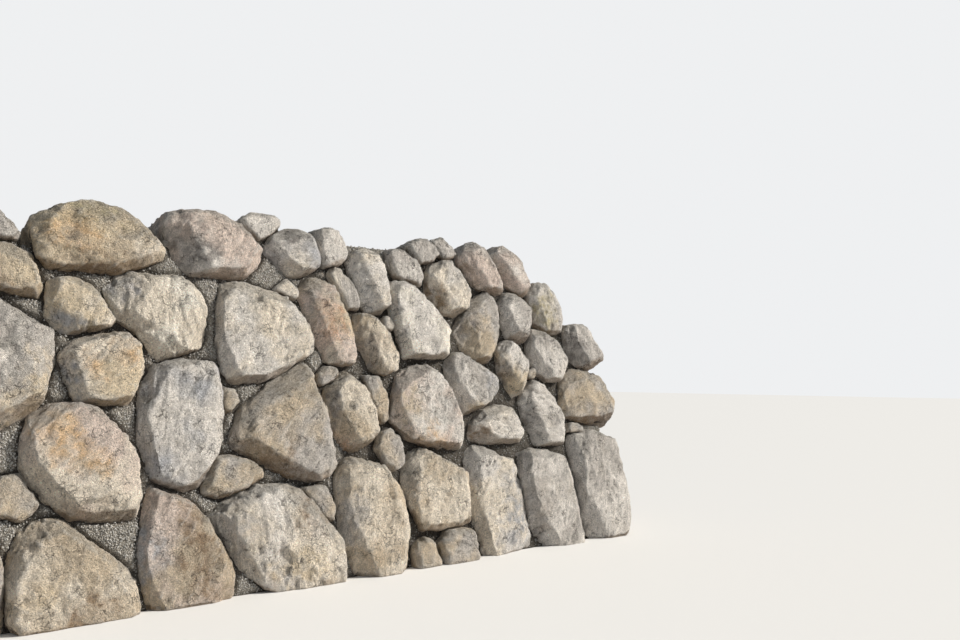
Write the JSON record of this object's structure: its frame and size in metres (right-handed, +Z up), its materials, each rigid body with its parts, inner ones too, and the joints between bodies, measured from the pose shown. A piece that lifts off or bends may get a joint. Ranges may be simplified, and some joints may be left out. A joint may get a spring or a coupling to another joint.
{
  "type": "boulder retaining wall",
  "caption": "Dry-laid retaining wall of rounded limestone boulders in courses, with a leaning face and dark gravel packed between the stones.",
  "frame": {"origin": "on the ground, under the middle of the wall's box", "axes": "+X along the wall to the right seen from its face, +Y from the face into the wall, +Z up"},
  "size_m": [6.5674, 1.7244, 2.9488],
  "materials": {
    "tan_limestone": "matte",
    "grey_limestone": "matte",
    "pale_limestone": "matte",
    "rusty_limestone": "matte",
    "gravel": "matte"
  },
  "bodies": {
    "root": {"base_boulder_1": "tan_limestone", "base_boulder_2": "tan_limestone", "base_boulder_3": "rusty_limestone", "base_boulder_4": "tan_limestone", "base_boulder_5": "tan_limestone", "base_boulder_6": "tan_limestone", "base_boulder_7": "grey_limestone", "base_boulder_8": "pale_limestone", "base_boulder_9": "grey_limestone", "base_wedge_stones": "grey_limestone", "gravel_lift_1": "gravel", "gravel_lift_2": "gravel", "gravel_lift_3": "gravel", "gravel_lift_4": "gravel", "second_boulder_1": "tan_limestone", "second_boulder_2": "tan_limestone", "second_boulder_3": "grey_limestone", "second_boulder_4": "grey_limestone", "second_boulder_5": "tan_limestone", "second_boulder_6": "pale_limestone", "second_boulder_7": "pale_limestone", "second_boulder_8": "grey_limestone", "second_boulder_9": "grey_limestone", "second_wedge_stones": "grey_limestone", "third_boulder_1": "pale_limestone", "third_boulder_10": "grey_limestone", "third_boulder_11": "tan_limestone", "third_boulder_12": "pale_limestone", "third_boulder_13": "pale_limestone", "third_boulder_14": "grey_limestone", "third_boulder_2": "rusty_limestone", "third_boulder_3": "grey_limestone", "third_boulder_4": "pale_limestone", "third_boulder_5": "pale_limestone", "third_boulder_6": "rusty_limestone", "third_boulder_7": "rusty_limestone", "third_boulder_8": "pale_limestone", "third_boulder_9": "pale_limestone", "third_wedge_stones": "grey_limestone", "top_boulder_1": "tan_limestone", "top_boulder_2": "tan_limestone", "top_boulder_3": "grey_limestone", "top_boulder_4": "grey_limestone", "top_boulder_5": "tan_limestone", "top_boulder_6": "tan_limestone", "top_boulder_7": "pale_limestone", "top_boulder_8": "pale_limestone", "top_boulder_9": "tan_limestone", "top_wedge_stones": "grey_limestone"}
  },
  "joints": []
}
